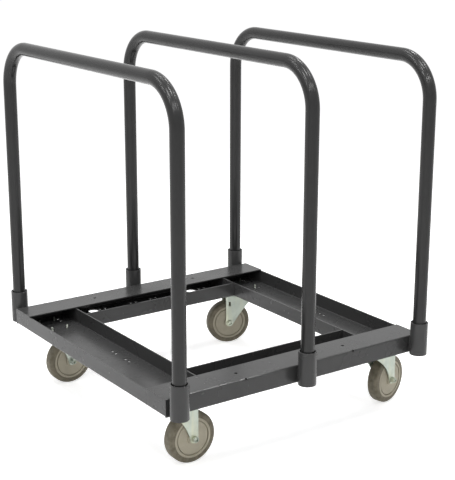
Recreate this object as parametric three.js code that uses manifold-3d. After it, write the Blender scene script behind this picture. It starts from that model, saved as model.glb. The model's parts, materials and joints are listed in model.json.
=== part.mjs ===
// Sheet goods cart: a square channel base on four casters, with three lift-out tube dividers.
// Millimetres, +Z up. X runs along the front, Y runs from front to rear.
// The origin is on the floor under the middle of the cart as it stands, casters turned as placed below.

import * as THREE from 'three';
import { mergeVertices } from 'three/addons/utils/BufferGeometryUtils.js';
import Module from 'manifold-3d';

const wasm = await Module();
wasm.setup();

// Base frame
const frameLength = 762;
const frameDepth = 762;
const sheet = 3;
const channelWidth = 139.7;
const channelHeight = 40;
const channelBendRadius = 2;
const capWidth = 82.5;
const capBendRadius = 3.8;
const accessHoleDiameter = 29;
const accessHoleSetback = 32;
const capHoleDiameter = 8;
const bendNotchDiameter = 6;
const capHoleFromEnd = 79;
const pairHoleDiameter = 9.5;
const pairHoleSpacing = 17;
const pairFromMiddle = 33;
const pairsFromEnd = [109, 41];
const pairSetback = 30;
const endPairOffset = 35.2;
const endPairSpread = 66;

// Dividers and their sockets
const tubeDiameter = 33.4;
const tubeWall = 2.6;
const outerDividerHeight = 927.5;
const middleDividerHeight = 938;
const bendRadius = 101.6;
const socketWall = 3.2;
const socketClearance = 2.3;
const socketLength = 84;
const socketFloor = 3;

// Wheels
const wheelDiameter = 127;
const wheelWidth = 32;
const treadThickness = 14.2;
const shoulderHeight = 10.5;
const shoulderWidth = 7.5;
const beadWidth = 5.8;
const grooveWidth = 2;
const grooveDepth = 1.6;
const faceInset = 0.8;
const bossDiameter = 30;
const axleDiameter = 9.5;
const axleHeadHeight = 6;
const axleNutHeight = 8;
const axleThreadOut = 3;
const bushWall = 1.6;

// Forks, top plates and the bolts that hold the casters
const trail = 43;
const wheelClearance = 19.7;
const forkSideClearance = 3;
const forkSheet = 3.2;
const forkBendRadius = 6;
const legEndRadius = 11;
const legEndTurn = 215;
const plainLowerSweep = [7, 28];
const plainUpperSweep = [18, 54];
const slottedLowerSweep = [17, 25];
const slottedUpperSweep = [33, 48];
const crownRim = 7.8;
const crownDrop = 11;
const slotWidth = 5;
const slotHeight = 11;
const slotRise = 53;
const slotSetback = 8;
const raceHeight = 7;
const raceDish = 3.5;
const raceRim = 8;
const kingpinDiameter = 12;
const kingpinHeadRim = 4;
const kingpinHeadHeight = 4.5;
const kingpinCrown = 6;
const casterInset = 79;
const plateLength = 92;
const plateWidth = 60;
const plateThickness = 4;
const plateCornerRadius = 8;
const boltEdge = 8;
const boltDiameter = 6.4;
const boltStandUp = 10.5;
const boltHeadHeight = 4.5;

// Swivel angles that the two free casters stand at, from +X, wheel trailing that way
const frontSwivel = THREE.MathUtils.degToRad(14);
const rearSwivel = THREE.MathUtils.degToRad(162);

// Clearances, and how far a cutting tool or a joined piece runs past a face
const seatGap = 0.3;
const runningGap = 0.3;
const overcut = 1;

// Facet counts
const tubeSides = 16;
const bendSteps = 5;
const socketSides = 20;
const wheelSides = 28;
const holeSides = 16;
const pinSides = 10;
const smallSides = 8;
const arcSegments = 3;

// Heights of a caster, from the wheel up through the fork and the two races to the base
const wheelRadius = wheelDiameter / 2;
const forkTop = wheelDiameter + wheelClearance + forkSheet;
const crownTop = forkTop + raceHeight;
const raceBottom = crownTop + seatGap;
const plateBottom = raceBottom + raceDish;
const plateTop = plateBottom + plateThickness;
const baseBottom = plateTop + seatGap;

// Levels and half sizes of the base
const halfLength = frameLength / 2;
const halfDepth = frameDepth / 2;
const floorTop = baseBottom + sheet;
const capBottom = baseBottom + channelHeight + seatGap;
const deckTop = capBottom + sheet;
const crossEnd = halfLength - channelWidth - seatGap;
const capHoleX = crossEnd - capHoleFromEnd;
const tubeRadius = tubeDiameter / 2;
const socketBore = tubeRadius + socketClearance;
const socketRadius = socketBore + socketWall;
const socketOffset = halfDepth + socketRadius + seatGap;
const outerDividerX = halfLength - socketRadius;

// Fits that take their sizes from the pieces they hold
const legInside = wheelWidth / 2 + forkSideClearance;
const legOutside = legInside + forkSheet;
const crownRadius = legOutside + crownRim;
const coreRadius = wheelRadius - treadThickness;
const beadRadius = coreRadius - beadWidth;
const kingpinBore = kingpinDiameter / 2 + runningGap;
const axleBore = axleDiameter / 2 + runningGap;
const hexShare = 1.5;
const casterX = halfLength - channelWidth / 2;
const casterY = halfDepth - casterInset;
const boltX = plateWidth / 2 - boltEdge;
const boltY = plateLength / 2 - boltEdge;

// Finishes
const powderCoat = { color: 0x4a4a4a, roughness: 0.5, metalness: 0.1 };
const zincPlate = { color: 0xb9c4ba, roughness: 0.4, metalness: 0.7 };
const softTread = { color: 0x6b6555, roughness: 0.75, metalness: 0 };
const mouldedCore = { color: 0x8c8272, roughness: 0.65, metalness: 0 };

function meshOf(name, geometry, finish) {
  const mesh = new THREE.Mesh(geometry, new THREE.MeshStandardMaterial(finish));
  mesh.name = name;
  return mesh;
}

// Closed geometry to a solid that can be joined and cut
function solidOf(geometry) {
  const bare = geometry.clone();
  bare.deleteAttribute('normal');
  bare.deleteAttribute('uv');
  const merged = mergeVertices(bare, 1e-4);
  const vertProperties = new Float32Array(merged.attributes.position.array);
  const triVerts = new Uint32Array(merged.index.array);
  return new wasm.Manifold(new wasm.Mesh({ numProp: 3, vertProperties, triVerts }));
}

function geometryOf(solid) {
  const { vertProperties, triVerts } = solid.getMesh();
  const geometry = new THREE.BufferGeometry();
  geometry.setAttribute('position', new THREE.BufferAttribute(new Float32Array(vertProperties), 3));
  geometry.setIndex(new THREE.BufferAttribute(new Uint32Array(triVerts), 1));
  geometry.computeVertexNormals();
  return geometry;
}

function cut(body, tools) {
  let solid = solidOf(body);
  for (const tool of tools) solid = solid.subtract(solidOf(tool));
  return geometryOf(solid);
}

function join(pieces) {
  let solid = solidOf(pieces[0]);
  for (const piece of pieces.slice(1)) solid = solid.add(solidOf(piece));
  return geometryOf(solid);
}

function common(a, b) {
  return geometryOf(solidOf(a).intersect(solidOf(b)));
}

// Outline in X and Y, raised between two heights
function upZ(shape, from, to) {
  const settings = { depth: to - from, bevelEnabled: false, curveSegments: arcSegments };
  return new THREE.ExtrudeGeometry(shape, settings).translate(0, 0, from);
}

// Outline in X and Z, carried along Y between two places
function alongY(shape, from, to) {
  return upZ(shape, -to, -from).rotateX(Math.PI / 2);
}

// Profile of radius and height points, counter-clockwise, turned about Z; flats face the axes
function turned(points, sides) {
  const profile = points.map(([radius, height]) => new THREE.Vector2(radius, height));
  return new THREE.LatheGeometry(profile, sides, Math.PI / sides).rotateX(Math.PI / 2);
}

function rod(radius, from, to, sides) {
  return turned([[0, from], [radius, from], [radius, to], [0, to]], sides);
}

// Tool for a round hole, its flats tangent to the hole's size so that a round pin still turns in it
function drill(radius, from, to, sides) {
  return rod(radius / Math.cos(Math.PI / sides), from, to, sides);
}

function drillAt(radius, from, to, sides, x, y) {
  return drill(radius, from, to, sides).translate(x, y, 0);
}

// Hexagon prism about Z, its size given across the flats
function hexagon(across, from, to) {
  return rod(across / 2 / Math.cos(Math.PI / 6), from, to, 6);
}

// Turns a piece built about Z so that it lies along the axle, then lifts it to the axle
function toAxle(geometry) {
  return geometry.rotateX(-Math.PI / 2).translate(trail, 0, wheelRadius);
}

// U channel outline, centred, its floor at height zero
function channelOutline(width) {
  const half = width / 2;
  const inner = channelBendRadius;
  const outer = inner + sheet;
  const shape = new THREE.Shape();
  shape.moveTo(-half, channelHeight);
  shape.lineTo(-half, outer);
  shape.absarc(-half + outer, outer, outer, Math.PI, Math.PI * 1.5, false);
  shape.absarc(half - outer, outer, outer, Math.PI * 1.5, Math.PI * 2, false);
  shape.lineTo(half, channelHeight);
  shape.lineTo(half - sheet, channelHeight);
  shape.absarc(half - outer, outer, inner, 0, -Math.PI / 2, true);
  shape.absarc(-half + outer, outer, inner, -Math.PI / 2, -Math.PI, true);
  shape.lineTo(-half + sheet, channelHeight);
  shape.closePath();
  return shape;
}

// Places of the bolts of one caster, from the caster's own centre
function boltPlaces() {
  const places = [];
  for (const across of [-1, 1]) {
    for (const along of [-1, 1]) {
      places.push([along * boltX, across * boltY]);
    }
  }
  return places;
}

function boltHoles(centreX, centreY, from, to) {
  const radius = boltDiameter / 2 + runningGap;
  return boltPlaces().map(([x, y]) => drillAt(radius, from, to, smallSides, centreX + x, centreY + y));
}

// End channel, full depth, with the bolt holes of its two casters.
// Small paired holes lie beside each caster and half-way along, on the same side of both channels.
function endChannel(side) {
  const end = halfDepth - sheet - seatGap;
  const centreX = side * casterX;
  const body = alongY(channelOutline(channelWidth), -end, end).translate(centreX, 0, baseBottom);
  const under = baseBottom - sheet;
  const over = floorTop + sheet;
  const holes = [-casterY, casterY].flatMap((y) => boltHoles(centreX, y, under, over));
  for (const y of [-casterY, 0, casterY]) {
    for (const place of [y - endPairSpread / 2, y + endPairSpread / 2]) {
      for (const step of [-pairHoleSpacing / 2, pairHoleSpacing / 2]) {
        const x = centreX + endPairOffset;
        holes.push(drillAt(pairHoleDiameter / 2, under, over, smallSides, x, place + step));
      }
    }
  }
  return cut(body, holes);
}

// Cross channel between the end channels, with wrench access holes and small paired holes in its floor
function crossChannel(side) {
  const width = channelWidth - sheet - seatGap;
  const centreY = side * (halfDepth - sheet - seatGap - width / 2);
  const along = alongY(channelOutline(width), -crossEnd, crossEnd).rotateZ(Math.PI / 2);
  const body = along.translate(0, centreY, baseBottom);
  const under = baseBottom - sheet;
  const over = floorTop + sheet;
  const holes = [];
  for (const x of [-capHoleX, capHoleX]) {
    const y = side * (halfDepth - accessHoleSetback);
    holes.push(drillAt(accessHoleDiameter / 2, under, over, holeSides, x, y));
  }
  const pairPlaces = [pairFromMiddle, ...pairsFromEnd.map((distance) => crossEnd - distance)];
  for (const place of pairPlaces.flatMap((x) => [-x, x])) {
    for (const step of [-pairHoleSpacing / 2, pairHoleSpacing / 2]) {
      const y = side * (halfDepth - pairSetback);
      holes.push(drillAt(pairHoleDiameter / 2, under, over, smallSides, place + step, y));
    }
  }
  return cut(body, holes);
}

// Cap angle: top flange over the channels and an outer face, bent from one sheet
function capAngle(side) {
  const shape = new THREE.Shape();
  shape.moveTo(halfDepth, baseBottom);
  shape.lineTo(halfDepth, deckTop - capBendRadius);
  shape.absarc(halfDepth - capBendRadius, deckTop - capBendRadius, capBendRadius, 0, Math.PI / 2, false);
  shape.lineTo(halfDepth - capWidth, deckTop);
  shape.lineTo(halfDepth - capWidth, capBottom);
  shape.lineTo(halfDepth - sheet, capBottom);
  shape.lineTo(halfDepth - sheet, baseBottom);
  shape.closePath();
  const body = alongY(shape, -halfLength, halfLength).rotateZ(side * Math.PI / 2);
  const tools = [];
  for (const x of [-capHoleX, capHoleX]) {
    const y = side * (halfDepth - capWidth / 2);
    tools.push(drillAt(capHoleDiameter / 2, capBottom - sheet, deckTop + sheet, holeSides, x, y));
    const notch = drill(bendNotchDiameter / 2, -2 * sheet, sheet, smallSides);
    tools.push(notch.rotateX(-side * Math.PI / 4).translate(x, side * halfDepth, deckTop));
  }
  return cut(body, tools);
}

// Pipe socket with a floor that carries the divider tube
function socketPipe() {
  const top = baseBottom + socketLength;
  return turned([
    [0, baseBottom],
    [socketRadius, baseBottom],
    [socketRadius, top],
    [socketBore, top],
    [socketBore, baseBottom + socketFloor],
    [0, baseBottom + socketFloor],
  ], socketSides);
}

// Centre line of a divider: up one leg, round two quarter bends and down the other leg.
// Stations lie at the ends of the straight runs and evenly round the bends.
class DividerLine extends THREE.Curve {
  constructor(halfSpan, footHeight, topHeight) {
    super();
    const bendTop = topHeight - bendRadius;
    const corner = halfSpan - bendRadius;
    this.stations = [[-halfSpan, footHeight, 0, 1]];
    for (let step = 0; step <= bendSteps; step += 1) {
      const turn = step / bendSteps * Math.PI / 2;
      const y = -corner - bendRadius * Math.cos(turn);
      this.stations.push([y, bendTop + bendRadius * Math.sin(turn), Math.sin(turn), Math.cos(turn)]);
    }
    for (let step = 0; step <= bendSteps; step += 1) {
      const turn = step / bendSteps * Math.PI / 2;
      const y = corner + bendRadius * Math.sin(turn);
      this.stations.push([y, bendTop + bendRadius * Math.cos(turn), Math.cos(turn), -Math.sin(turn)]);
    }
    this.stations.push([halfSpan, footHeight, 0, -1]);
  }

  get steps() {
    return this.stations.length - 1;
  }

  getPointAt(part, target = new THREE.Vector3()) {
    const [y, z] = this.stations[Math.round(part * this.steps)];
    return target.set(0, y, z);
  }

  getTangentAt(part, target = new THREE.Vector3()) {
    const [, , y, z] = this.stations[Math.round(part * this.steps)];
    return target.set(0, y, z);
  }
}

function circlePoints(radius, sides) {
  const points = [];
  for (let side = 0; side < sides; side += 1) {
    const turn = side / sides * Math.PI * 2;
    points.push(new THREE.Vector2(radius * Math.cos(turn), radius * Math.sin(turn)));
  }
  return points;
}

// Divider: one bent pipe, open at both feet
function dividerTube(height) {
  const ring = new THREE.Shape(circlePoints(tubeRadius, tubeSides));
  ring.holes.push(new THREE.Path(circlePoints(tubeRadius - tubeWall, tubeSides)));
  const foot = baseBottom + socketFloor + seatGap;
  const line = new DividerLine(socketOffset, foot, height - tubeRadius);
  return new THREE.ExtrudeGeometry(ring, { steps: line.steps, extrudePath: line, bevelEnabled: false });
}

// Tyre: a band round the core with a flat tread and rounded shoulders, its flats tangent to the wheel size
function tyre() {
  const grow = 1 / Math.cos(Math.PI / wheelSides);
  const half = wheelWidth / 2;
  const inner = coreRadius + seatGap;
  const shoulder = new THREE.EllipseCurve(
    wheelRadius - shoulderHeight, half - shoulderWidth, shoulderHeight, shoulderWidth, 0, Math.PI / 2);
  const upper = shoulder.getPoints(arcSegments).map((point) => [point.x * grow, point.y]);
  const lower = upper.map(([radius, height]) => [radius, -height]).reverse();
  const bottom = [inner * grow, -half];
  const top = [inner * grow, half];
  return toAxle(turned([bottom, ...lower, ...upper, top, bottom], wheelSides));
}

// Core: flat faces with a ring groove inside the raised bead, and a boss that runs on the bush
function core() {
  const grow = 1 / Math.cos(Math.PI / wheelSides);
  const bead = wheelWidth / 2;
  const face = bead - faceInset;
  const floor = face - grooveDepth;
  const boss = legInside - runningGap;
  const bore = axleBore + bushWall + runningGap;
  const bossRadius = bossDiameter / 2;
  const upper = [
    [coreRadius * grow, bead],
    [beadRadius * grow, bead],
    [beadRadius * grow, floor],
    [(beadRadius - grooveWidth) * grow, floor],
    [(beadRadius - grooveWidth) * grow, face],
    [bossRadius, face],
    [bossRadius, boss],
    [bore * grow, boss],
  ];
  const lower = upper.map(([radius, height]) => [radius, -height]).reverse();
  return toAxle(turned([...lower, ...upper, lower[0]], wheelSides));
}

// Bush between the fork legs, its bore tangent to the running size
function bush() {
  const outer = axleBore + bushWall;
  const inner = axleBore / Math.cos(Math.PI / pinSides);
  const end = legInside - seatGap;
  return toAxle(turned([[inner, -end], [outer, -end], [outer, end], [inner, end], [inner, -end]], pinSides));
}

// Axle bolt: head outside the near leg, thread showing past the nut outside the far leg
function axleBolt() {
  const near = -legOutside - seatGap;
  const far = legOutside + seatGap + axleNutHeight + axleThreadOut;
  const head = hexagon(hexShare * axleDiameter, near - axleHeadHeight, near);
  return toAxle(join([head, rod(axleDiameter / 2, near - overcut, far, pinSides)]).rotateX(Math.PI));
}

function axleNut() {
  const near = legOutside + seatGap;
  const body = hexagon(hexShare * axleDiameter, near, near + axleNutHeight);
  const hole = drill(axleBore, near - overcut, near + axleNutHeight + overcut, pinSides);
  return toAxle(cut(body, [hole]).rotateX(Math.PI));
}

// Side outline of a fork leg: upright trailing edge, swept leading edge and a round end about the axle
function forkSide(topHeight, lowerSweep, upperSweep) {
  const endAngle = THREE.MathUtils.degToRad(legEndTurn);
  const startX = trail + legEndRadius * Math.cos(endAngle);
  const startZ = wheelRadius + legEndRadius * Math.sin(endAngle);
  const shape = new THREE.Shape();
  shape.moveTo(trail + legEndRadius, wheelRadius);
  shape.lineTo(trail + legEndRadius, topHeight);
  shape.lineTo(-crownRadius, topHeight);
  shape.lineTo(-crownRadius, topHeight - crownDrop);
  shape.bezierCurveTo(
    startX - upperSweep[0], startZ + upperSweep[1],
    startX - lowerSweep[0], startZ + lowerSweep[1],
    startX, startZ);
  shape.absarc(trail, wheelRadius, legEndRadius, endAngle, Math.PI * 2, false);
  return shape;
}

// Fork bent from one sheet: an inverted U across the wheel, each leg trimmed to its own side outline
function bentFork(topHeight, farSide) {
  const outer = forkBendRadius;
  const inner = outer - forkSheet;
  const roof = topHeight - forkSheet;
  const section = new THREE.Shape();
  section.moveTo(-legOutside, 0);
  section.lineTo(-legInside, 0);
  section.lineTo(-legInside, roof - inner);
  section.absarc(-legInside + inner, roof - inner, inner, Math.PI, Math.PI / 2, true);
  section.absarc(legInside - inner, roof - inner, inner, Math.PI / 2, 0, true);
  section.lineTo(legInside, 0);
  section.lineTo(legOutside, 0);
  section.lineTo(legOutside, topHeight - outer);
  section.absarc(legOutside - outer, topHeight - outer, outer, 0, Math.PI / 2, false);
  section.absarc(-legOutside + outer, topHeight - outer, outer, Math.PI / 2, Math.PI, false);
  section.closePath();
  const reach = crownRadius + trail + legEndRadius;
  const bend = alongY(section, -reach, reach).rotateZ(Math.PI / 2);
  const nearSide = forkSide(topHeight, plainLowerSweep, plainUpperSweep);
  const near = alongY(nearSide, -legOutside - overcut, overcut);
  const far = alongY(farSide, -overcut, legOutside + overcut);
  return common(bend, join([near, far]));
}

function axleHole() {
  return toAxle(drill(axleBore, -legOutside - overcut, legOutside + overcut, pinSides));
}

// Rectangular slot near the top of the far leg, close to the trailing edge
function legSlot() {
  const slot = new THREE.BoxGeometry(slotWidth, forkSheet + 2 * overcut, slotHeight);
  const x = trail + legEndRadius - slotSetback - slotWidth / 2;
  return slot.translate(x, legInside + forkSheet / 2, wheelRadius + slotRise + slotHeight / 2);
}

function platePad() {
  const halfX = plateWidth / 2;
  const halfY = plateLength / 2;
  const round = plateCornerRadius;
  const shape = new THREE.Shape();
  shape.absarc(halfX - round, halfY - round, round, 0, Math.PI / 2, false);
  shape.absarc(-halfX + round, halfY - round, round, Math.PI / 2, Math.PI, false);
  shape.absarc(-halfX + round, -halfY + round, round, Math.PI, Math.PI * 1.5, false);
  shape.absarc(halfX - round, -halfY + round, round, Math.PI * 1.5, Math.PI * 2, false);
  return upZ(shape, plateBottom, plateTop);
}

// Rigid fork: the bent fork, both legs plain, welded under its own top plate
function rigidFork() {
  const top = plateBottom + forkSheet / 2;
  const whole = join([platePad(), bentFork(top, forkSide(top, plainLowerSweep, plainUpperSweep))]);
  return cut(whole, [axleHole(), ...boltHoles(0, 0, plateBottom - overcut, plateTop + overcut)]);
}

// Swivel top plate: flat pad with the upper race pressed down out of its middle
function swivelPlate() {
  const race = rod(crownRadius - overcut, raceBottom, plateBottom + overcut, socketSides);
  const dish = rod(crownRadius - raceRim, plateTop - raceDish, plateTop + overcut, socketSides);
  const bore = drill(kingpinBore, raceBottom - overcut, plateTop + overcut, pinSides);
  const holes = boltHoles(0, 0, plateBottom - overcut, plateTop + overcut);
  return cut(join([platePad(), race]), [dish, bore, ...holes]);
}

// Swivel fork: the bent fork, its far leg wider and slotted, with the lower race raised on its crown
function swivelFork() {
  const skirt = forkSheet / 2;
  const race = turned([
    [0, forkTop - skirt],
    [legOutside - overcut, forkTop - skirt],
    [crownRadius, forkTop + raceHeight / 2],
    [crownRadius, crownTop],
    [0, crownTop],
  ], socketSides);
  const bore = drill(kingpinBore, forkTop - forkSheet - overcut, crownTop + overcut, pinSides);
  const fork = bentFork(forkTop, forkSide(forkTop, slottedLowerSweep, slottedUpperSweep));
  return cut(join([fork, race]), [bore, axleHole(), legSlot()]);
}

// Kingpin: riveted heads inside the pressed race above and under the crown below
function kingpin() {
  const upper = plateTop - raceDish + seatGap;
  const lower = forkTop - forkSheet - seatGap;
  const shank = kingpinDiameter / 2;
  const head = shank + kingpinHeadRim;
  return turned([
    [0, lower - kingpinHeadHeight],
    [head, lower - kingpinHeadHeight],
    [head, lower],
    [shank, lower],
    [shank, upper],
    [head, upper],
    [kingpinCrown, plateTop - seatGap],
    [0, plateTop - seatGap],
  ], pinSides);
}

// Caster bolt: head under the top plate, shank up through the plate and the channel floor
function casterBolt() {
  const headTop = plateBottom - seatGap;
  const head = hexagon(hexShare * boltDiameter, headTop - boltHeadHeight, headTop);
  const shank = rod(boltDiameter / 2, headTop - overcut, floorTop + boltStandUp, smallSides);
  return join([head, shank]);
}

const cart = new THREE.Group();

for (const [name, side] of [['left', -1], ['right', 1]]) {
  cart.add(meshOf(`${name}_end_channel`, endChannel(side), powderCoat));
}
for (const [name, side] of [['front', -1], ['rear', 1]]) {
  cart.add(meshOf(`${name}_channel`, crossChannel(side), powderCoat));
  cart.add(meshOf(`${name}_cap_angle`, capAngle(side), powderCoat));
}

const dividers = [
  { name: 'left', x: -outerDividerX, height: outerDividerHeight },
  { name: 'middle', x: 0, height: middleDividerHeight },
  { name: 'right', x: outerDividerX, height: outerDividerHeight },
];
for (const { name, x, height } of dividers) {
  for (const [place, side] of [['front', -1], ['rear', 1]]) {
    const pipe = meshOf(`${place}_${name}_socket`, socketPipe(), powderCoat);
    pipe.position.set(x, side * socketOffset, 0);
    cart.add(pipe);
  }
  const divider = meshOf(`${name}_divider`, dividerTube(height), powderCoat);
  divider.position.x = x;
  cart.add(divider);
}

const corners = [
  { name: 'front_left', x: -casterX, y: -casterY, swivel: null },
  { name: 'rear_left', x: -casterX, y: casterY, swivel: null },
  { name: 'front_right', x: casterX, y: -casterY, swivel: frontSwivel },
  { name: 'rear_right', x: casterX, y: casterY, swivel: rearSwivel },
];
for (const { name, x, y, swivel } of corners) {
  const mount = new THREE.Group();
  mount.position.set(x, y, 0);
  boltPlaces().forEach(([placeX, placeY], index) => {
    const bolt = meshOf(`${name}_caster_bolt_${index + 1}`, casterBolt(), zincPlate);
    bolt.position.set(placeX, placeY, 0);
    mount.add(bolt);
  });
  const turning = new THREE.Group();
  if (swivel === null) {
    turning.add(meshOf(`${name}_fork`, rigidFork(), zincPlate));
  } else {
    turning.rotation.z = swivel;
    turning.add(meshOf(`${name}_fork`, swivelFork(), zincPlate));
    mount.add(meshOf(`${name}_top_plate`, swivelPlate(), zincPlate));
    mount.add(meshOf(`${name}_kingpin`, kingpin(), zincPlate));
  }
  turning.add(meshOf(`${name}_tyre`, tyre(), softTread));
  turning.add(meshOf(`${name}_core`, core(), mouldedCore));
  turning.add(meshOf(`${name}_bush`, bush(), zincPlate));
  turning.add(meshOf(`${name}_axle_bolt`, axleBolt(), zincPlate));
  turning.add(meshOf(`${name}_axle_nut`, axleNut(), zincPlate));
  mount.add(turning);
  cart.add(mount);
}

// The origin goes to the floor under the middle of the space that the cart takes up as it stands
const space = new THREE.Box3().setFromObject(cart, true);
const middle = space.getCenter(new THREE.Vector3());
for (const piece of cart.children) {
  piece.position.x -= middle.x;
  piece.position.y -= middle.y;
}

export default cart;
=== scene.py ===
import itertools
import json
import math

import bmesh
import bpy
import numpy as np
from bpy.props import FloatProperty, FloatVectorProperty, PointerProperty
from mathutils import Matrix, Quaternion, Vector


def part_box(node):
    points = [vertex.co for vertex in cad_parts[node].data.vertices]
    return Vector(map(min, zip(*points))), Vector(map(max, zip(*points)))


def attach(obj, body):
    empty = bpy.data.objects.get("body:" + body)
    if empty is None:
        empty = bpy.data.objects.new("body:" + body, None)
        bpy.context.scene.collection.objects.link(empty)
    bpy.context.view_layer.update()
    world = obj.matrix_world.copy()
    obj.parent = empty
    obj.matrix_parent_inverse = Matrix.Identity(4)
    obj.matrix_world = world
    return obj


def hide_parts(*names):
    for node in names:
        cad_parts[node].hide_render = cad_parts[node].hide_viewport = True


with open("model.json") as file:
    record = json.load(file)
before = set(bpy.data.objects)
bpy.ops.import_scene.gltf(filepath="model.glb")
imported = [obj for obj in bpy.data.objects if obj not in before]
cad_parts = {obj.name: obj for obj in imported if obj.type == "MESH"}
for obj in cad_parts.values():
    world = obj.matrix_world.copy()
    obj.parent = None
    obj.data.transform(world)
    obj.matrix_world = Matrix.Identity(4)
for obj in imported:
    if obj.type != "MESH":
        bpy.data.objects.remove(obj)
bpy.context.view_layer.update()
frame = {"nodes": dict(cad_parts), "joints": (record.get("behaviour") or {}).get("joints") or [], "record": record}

bl_info = {
    "name": "Sheet goods cart",
    "version": (1, 0, 0),
    "blender": (4, 5, 0),
    "location": "View3D > Sidebar > Cart",
    "description": "Dresses the packed sheet goods cart with smooth pieces, finishes and a plain studio",
    "category": "Object",
}

MM = 0.001
UP = np.array([0.0, 0.0, 1.0])
NODE_BODY = {node: body for body, nodes in frame["record"]["behaviour"]["bodies"].items() for node in nodes}
JOINTS = {joint["name"]: joint for joint in frame["joints"]}

DIVIDERS = ("left", "middle", "right")
SOCKETS = [f"{end}_{place}_socket" for end in ("front", "rear") for place in DIVIDERS]
CORNERS = ("front_left", "rear_left", "front_right", "rear_right")
SWIVELS = ("front_right", "rear_right")
COATED_NODES = ("left_end_channel", "right_end_channel", "front_channel", "rear_channel",
                "front_cap_angle", "rear_cap_angle")
BOLTS_PER_CASTER = 4

# Places of the softbox and of the ceiling lights over the floor, along X and along Y in metres
SOFTBOX_PLACE = (-0.6, 0.2)
LIGHT_COLUMNS = (-3.2, -1.6, 0.0, 1.6)
LIGHT_ROWS = (-2.8, -1.0, 0.7)

# Sides of the round pieces
PIPE_SIDES = 64
TYRE_SIDES = 112
CORE_SIDES = 96
BOLT_SIDES = 36
AXLE_SIDES = 48

# Depth of a weld bead's ripples, as a share of its radius
RIPPLE = 0.14
# Where a socket's beads stand: off its axis, as a share of its radius, and off the cap, as a share of theirs
WELD_SPREAD = 0.47
WELD_LIFT = 0.62
# Chamfer of a hexagon: its height and its radius at the end, as shares of half the size across the flats, and
# the slope of its cone
CHAMFER_HEIGHT = 0.1
CHAMFER_RADIUS = 0.97
CHAMFER_SLOPE = math.tan(math.radians(60))
# Depth of a thread, as a share of its pitch
THREAD_DEPTH = 0.55
# The most of a fork leg's width that lies behind a slot's trailing edge and behind its leading edge
SLOT_REAR = 0.36
SLOT_LEAD = 0.6
# Edges that turn by more than this stay sharp
CREASE = math.radians(38)
# Edges of pressed sheet that turn by more than this are eased
STAMPED = math.radians(60)
# Points closer than this, in metres, are merged
SAME_PLACE = 1e-7
# An axis that rises by more than this share of its length takes X as the first direction across it
STEEP = 0.9

# Between these two values lies most of a noise pattern
NOISE_SPAN = {"From Min": 0.3, "From Max": 0.7}
# Lowest roughness of a powder coat, as a share of its highest
SMOOTH_SHARE = 0.75
WHITE = (1.0, 1.0, 1.0, 1.0)
# White glow of the floor where it is seen; less would show it grey far from the lights
FLOOR_GLOW = 0.65
# Width of the camera's frame in millimetres, and how far it sees in metres
FRAME_WIDTH = 36
SIGHT = 200


def linear(hex_colour):
    """An sRGB hex colour as three linear values."""
    srgb = np.array([int(hex_colour[i:i + 2], 16) for i in (1, 3, 5)]) / 255
    return tuple(np.where(srgb <= 0.04045, srgb / 12.92, ((srgb + 0.055) / 1.055) ** 2.4).tolist())


def length(name, description, millimetres):
    """A size in metres whose default is given in millimetres."""
    return FloatProperty(name=name, description=description, default=millimetres * MM, precision=5,
                         unit="LENGTH", subtype="DISTANCE")


def lengths(name, description, *millimetres):
    """Several sizes in metres whose defaults are given in millimetres."""
    sizes = [size * MM for size in millimetres]
    return FloatVectorProperty(name=name, description=description, default=sizes, size=len(sizes),
                               precision=5, unit="LENGTH", subtype="XYZ_LENGTH")


def colour(name, description, hex_colour):
    """A linear colour whose default is given as an sRGB hex value."""
    return FloatVectorProperty(name=name, description=description, default=linear(hex_colour), size=3,
                               min=0, max=1, subtype="COLOR")


def angle(name, description, degrees):
    """An angle in radians whose default is given in degrees."""
    return FloatProperty(name=name, description=description, default=math.radians(degrees),
                         unit="ROTATION", subtype="ANGLE")


def power(name, description, watts):
    """The power of a lamp in watts."""
    return FloatProperty(name=name, description=description, default=watts, unit="POWER")


class CART_PG_dividers(bpy.types.PropertyGroup):
    """Sizes of the bent-pipe dividers and of the sockets they stand in."""
    pipe_wall: length("Pipe wall", "Thickness of a divider's pipe", 2.6)
    bend_radius: length("Bend radius", "Radius of the pipe's centre line at a bend", 101.6)
    socket_diameter: length("Socket diameter", "Outside diameter of a socket", 44.4)
    socket_wall: length("Socket wall", "Thickness of a socket's wall", 3.2)
    socket_floor: length("Socket floor", "Thickness of the floor that carries the pipe", 3)
    socket_easing: length("Socket easing", "How far the socket's sawn edges are eased", 0.7)
    weld_size: length("Weld size", "Radius of the weld beads beside a socket", 2.7)
    weld_pitch: length("Weld pitch", "Distance between two ripples of a weld bead", 3.4)
    weld_start: length("Weld start", "How far those beads start above a socket's foot", 2)
    weld_stop: length("Weld stop", "How far they stop below the cap's top", 4)
    joint_weld: length("Joint weld", "Radius of the weld beads between the channels", 1.8)
    joint_setback: length("Joint setback", "How far those beads stop short of a channel's outer faces", 4)
    channel_sheet: length("Channel sheet", "Thickness of the channels' sheet", 3)


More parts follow.
